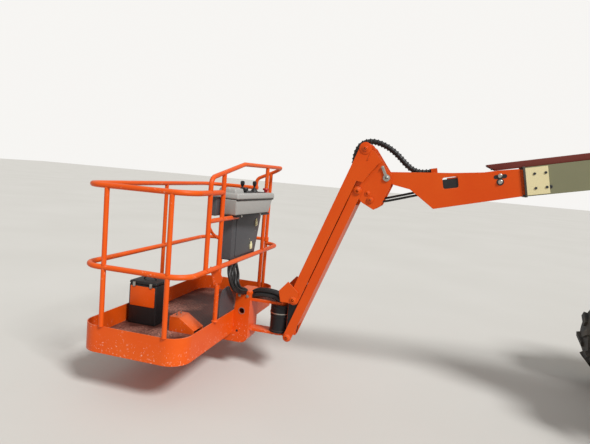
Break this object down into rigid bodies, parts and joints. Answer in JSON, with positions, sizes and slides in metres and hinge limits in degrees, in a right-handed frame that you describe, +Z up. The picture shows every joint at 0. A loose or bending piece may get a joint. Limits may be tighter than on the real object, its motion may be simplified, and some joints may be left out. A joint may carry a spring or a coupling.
{
  "type": "articulating boom lift",
  "caption": "Self-propelled articulating boom lift: wheeled chassis, turntable with hoods, folding riser, telescopic boom, jib and railed work platform.",
  "frame": {"origin": "on the ground, under the middle of the parked machine's bounding box", "axes": "+X from the counterweight towards the work platform, +Z up, +Y towards the left-hand wheels"},
  "size_m": [6.6801, 2.34, 2.4442],
  "materials": {
    "orange_paint": "gloss enamel, sun faded and scuffed",
    "cream_paint": "gloss enamel",
    "dark_paint": "satin enamel",
    "chrome_rod": "hard chrome",
    "bearing_steel": "machined",
    "tyre_rubber": "moulded",
    "grey_plastic": "moulded",
    "dark_plastic": "moulded",
    "hose_rubber": "sleeved hydraulic hose"
  },
  "bodies": {
    "chassis": {"chassis_frame": "dark_paint", "swing_bearing": "bearing_steel", "tie_down_lugs": "bearing_steel", "front_axle": "dark_paint", "rear_axle": "dark_paint"},
    "knuckle_left": {"steering_knuckle_left": "dark_paint"},
    "knuckle_right": {"steering_knuckle_right": "dark_paint"},
    "wheel_front_left": {"tyre_front_left": "tyre_rubber", "wheel_front_left": "cream_paint"},
    "wheel_front_right": {"tyre_front_right": "tyre_rubber", "wheel_front_right": "cream_paint"},
    "wheel_rear_left": {"tyre_rear_left": "tyre_rubber", "wheel_rear_left": "cream_paint"},
    "wheel_rear_right": {"tyre_rear_right": "tyre_rubber", "wheel_rear_right": "cream_paint"},
    "turntable": {"turntable_frame": "orange_paint", "counterweight": "dark_paint", "engine_block": "dark_paint", "tanks": "dark_paint", "ground_controls": "dark_plastic"},
    "hood_left": {"hood_left": "orange_paint"},
    "hood_right": {"hood_right": "orange_paint"},
    "riser_lower_arm": {"riser_lower_arm": "orange_paint"},
    "riser_lower_links": {"riser_lower_links": "orange_paint"},
    "riser_knuckle": {"riser_knuckle": "orange_paint"},
    "riser_upper_arm": {"riser_upper_arm": "orange_paint"},
    "riser_upper_links": {"riser_upper_links": "orange_paint"},
    "upright": {"upright": "orange_paint"},
    "riser_barrel": {"riser_barrel": "dark_paint"},
    "riser_rod": {"riser_rod": "chrome_rod"},
    "main_boom": {"main_boom": "cream_paint", "wear_pads": "dark_plastic", "pad_plates": "cream_paint", "hose_tray": "dark_paint"},
    "boom_lift_barrel": {"boom_lift_barrel": "dark_paint"},
    "boom_lift_rod": {"boom_lift_rod": "chrome_rod"},
    "fly_boom": {"fly_boom": "orange_paint", "boom_nose": "orange_paint", "jib_hose": "hose_rubber"},
    "jib_bracket": {"jib_bracket": "orange_paint"},
    "jib_upper_arm": {"jib_upper_arm": "orange_paint"},
    "jib_lower_arm": {"jib_lower_arm": "orange_paint"},
    "jib_lift_barrel": {"jib_lift_barrel": "dark_paint"},
    "jib_lift_rod": {"jib_lift_rod": "chrome_rod"},
    "jib_end": {"jib_end_bracket": "orange_paint", "rotator": "dark_paint"},
    "platform": {"platform_floor": "orange_paint", "top_rail": "orange_paint", "mid_rail": "orange_paint", "guard_hoop": "orange_paint", "platform_posts": "orange_paint", "console": "grey_plastic", "console_locker": "dark_plastic", "foot_switch": "dark_plastic", "tool_box": "dark_plastic", "platform_support": "orange_paint"},
    "entry_bar": {"entry_bar": "orange_paint"}
  },
  "joints": [
    {"name": "steer_left", "type": "hinge", "parent": "chassis", "child": "knuckle_left", "pos_m": [-0.567, 0.8, 0.42], "axis": [0, 0, 1], "range_deg": [-30, 30]},
    {"name": "steer_right", "type": "hinge", "parent": "chassis", "child": "knuckle_right", "pos_m": [-0.567, -0.8, 0.42], "axis": [0, 0, 1], "range_deg": [-30, 30]},
    {"name": "roll_front_left", "type": "hinge", "parent": "knuckle_left", "child": "wheel_front_left", "pos_m": [-0.567, 1.015, 0.42], "axis": [0, 1, 0], "continuous": true},
    {"name": "roll_front_right", "type": "hinge", "parent": "knuckle_right", "child": "wheel_front_right", "pos_m": [-0.567, -1.015, 0.42], "axis": [0, 1, 0], "continuous": true},
    {"name": "roll_rear_left", "type": "hinge", "parent": "chassis", "child": "wheel_rear_left", "pos_m": [-2.927, 1.015, 0.42], "axis": [0, 1, 0], "continuous": true},
    {"name": "roll_rear_right", "type": "hinge", "parent": "chassis", "child": "wheel_rear_right", "pos_m": [-2.927, -1.015, 0.42], "axis": [0, 1, 0], "continuous": true},
    {"name": "swing", "type": "hinge", "parent": "chassis", "child": "turntable", "pos_m": [-1.747, 0, 0.855], "axis": [0, 0, 1], "range_deg": [-177.5, 177.5]},
    {"name": "hood_left_open", "type": "hinge", "parent": "turntable", "child": "hood_left", "pos_m": [-1.747, 0.31, 1.5253], "axis": [1, 0, 0], "range_deg": [0, 60]},
    {"name": "hood_right_open", "type": "hinge", "parent": "turntable", "child": "hood_right", "pos_m": [-1.747, -0.31, 1.5253], "axis": [-1, 0, 0], "range_deg": [0, 60]},
    {"name": "riser_lift", "type": "hinge", "parent": "turntable", "child": "riser_lower_arm", "pos_m": [-2.547, 0, 1.11], "axis": [0, -1, 0], "range_deg": [0, 65]},
    {"name": "riser_lower_link_turn", "type": "hinge", "parent": "turntable", "child": "riser_lower_links", "pos_m": [-2.547, 0, 1.27], "axis": [0, -1, 0], "range_deg": [0, 65]},
    {"name": "riser_knuckle_level", "type": "hinge", "parent": "riser_lower_arm", "child": "riser_knuckle", "pos_m": [-0.447, 0, 1.11], "axis": [0, 1, 0], "range_deg": [0, 65]},
    {"name": "riser_upper_arm_turn", "type": "hinge", "parent": "riser_knuckle", "child": "riser_upper_arm", "pos_m": [-0.447, 0, 1.495], "axis": [0, 1, 0], "range_deg": [0, 65]},
    {"name": "riser_upper_link_turn", "type": "hinge", "parent": "riser_knuckle", "child": "riser_upper_links", "pos_m": [-0.447, 0, 1.655], "axis": [0, 1, 0], "range_deg": [0, 65]},
    {"name": "upright_level", "type": "hinge", "parent": "riser_upper_arm", "child": "upright", "pos_m": [-2.547, 0, 1.495], "axis": [0, -1, 0], "range_deg": [0, 65]},
    {"name": "riser_barrel_turn", "type": "hinge", "parent": "riser_lower_arm", "child": "riser_barrel", "pos_m": [-1.497, 0, 1.235], "axis": [0, -1, 0], "range_deg": [-2, 0]},
    {"name": "riser_rod_slide", "type": "slide", "parent": "riser_barrel", "child": "riser_rod", "axis": [0.9995, 0, 0.0303], "range_m": [0, 0.1747]},
    {"name": "boom_lift", "type": "hinge", "parent": "upright", "child": "main_boom", "pos_m": [-2.797, 0, 2.331], "axis": [0, -1, 0], "range_deg": [0, 80]},
    {"name": "boom_lift_barrel_turn", "type": "hinge", "parent": "upright", "child": "boom_lift_barrel", "pos_m": [-2.547, 0, 1.8], "axis": [0, -1, 0], "range_deg": [0, 69.15]},
    {"name": "boom_lift_rod_slide", "type": "slide", "parent": "boom_lift_barrel", "child": "boom_lift_rod", "axis": [0.9872, 0, 0.1595], "range_m": [0, 0.71862]},
    {"name": "boom_telescope", "type": "slide", "parent": "main_boom", "child": "fly_boom", "axis": [0.9799, 0, -0.1994], "range_m": [0, 1.83]},
    {"name": "jib_bracket_level", "type": "hinge", "parent": "fly_boom", "child": "jib_bracket", "pos_m": [1.49355, 0, 1.59074], "axis": [0, 1, 0], "range_deg": [0, 80]},
    {"name": "jib_lift", "type": "hinge", "parent": "jib_bracket", "child": "jib_upper_arm", "pos_m": [1.65655, 0, 1.78274], "axis": [0, -1, 0], "range_deg": [0, 144]},
    {"name": "jib_lower_turn", "type": "hinge", "parent": "jib_bracket", "child": "jib_lower_arm", "pos_m": [1.68655, 0, 1.48274], "axis": [0, -1, 0], "range_deg": [0, 144]},
    {"name": "jib_end_level", "type": "hinge", "parent": "jib_upper_arm", "child": "jib_end", "pos_m": [2.0839, 0, 0.63363], "axis": [0, 1, 0], "range_deg": [0, 144]},
    {"name": "jib_lift_barrel_turn", "type": "hinge", "parent": "jib_bracket", "child": "jib_lift_barrel", "pos_m": [1.68655, 0, 1.48274], "axis": [0, -1, 0], "range_deg": [0, 143.14]},
    {"name": "jib_lift_rod_slide", "type": "slide", "parent": "jib_lift_barrel", "child": "jib_lift_rod", "axis": [0.4353, 0, -0.9003], "range_m": [0, 0.57328]},
    {"name": "platform_rotate", "type": "hinge", "parent": "jib_end", "child": "platform", "pos_m": [2.2059, 0, 0.34503], "axis": [0, 0, 1], "range_deg": [-90, 90]},
    {"name": "entry_bar_lift", "type": "slide", "parent": "platform", "child": "entry_bar", "axis": [0, 0, 1], "range_m": [0, 0.33]}
  ],
  "couplings": [
    {"joint": "steer_right", "follows": "steer_left", "ratio": 1},
    {"joint": "riser_lower_link_turn", "follows": "riser_lift", "ratio": 1},
    {"joint": "riser_knuckle_level", "follows": "riser_lift", "ratio": 1},
    {"joint": "riser_upper_arm_turn", "follows": "riser_lift", "ratio": 1},
    {"joint": "riser_upper_link_turn", "follows": "riser_lift", "ratio": 1},
    {"joint": "upright_level", "follows": "riser_lift", "ratio": 1},
    {"joint": "riser_barrel_turn", "follows": "riser_lift", "ratio": -0.030573},
    {"joint": "riser_rod_slide", "follows": "riser_lift", "m_per_rad": 0.15397},
    {"joint": "boom_lift_barrel_turn", "follows": "boom_lift", "ratio": 0.86421},
    {"joint": "boom_lift_rod_slide", "follows": "boom_lift", "m_per_rad": 0.51466},
    {"joint": "jib_bracket_level", "follows": "boom_lift", "ratio": 1},
    {"joint": "jib_lower_turn", "follows": "jib_lift", "ratio": 1},
    {"joint": "jib_end_level", "follows": "jib_lift", "ratio": 1},
    {"joint": "jib_lift_barrel_turn", "follows": "jib_lift", "ratio": 0.99399},
    {"joint": "jib_lift_rod_slide", "follows": "jib_lift", "m_per_rad": 0.22809}
  ]
}
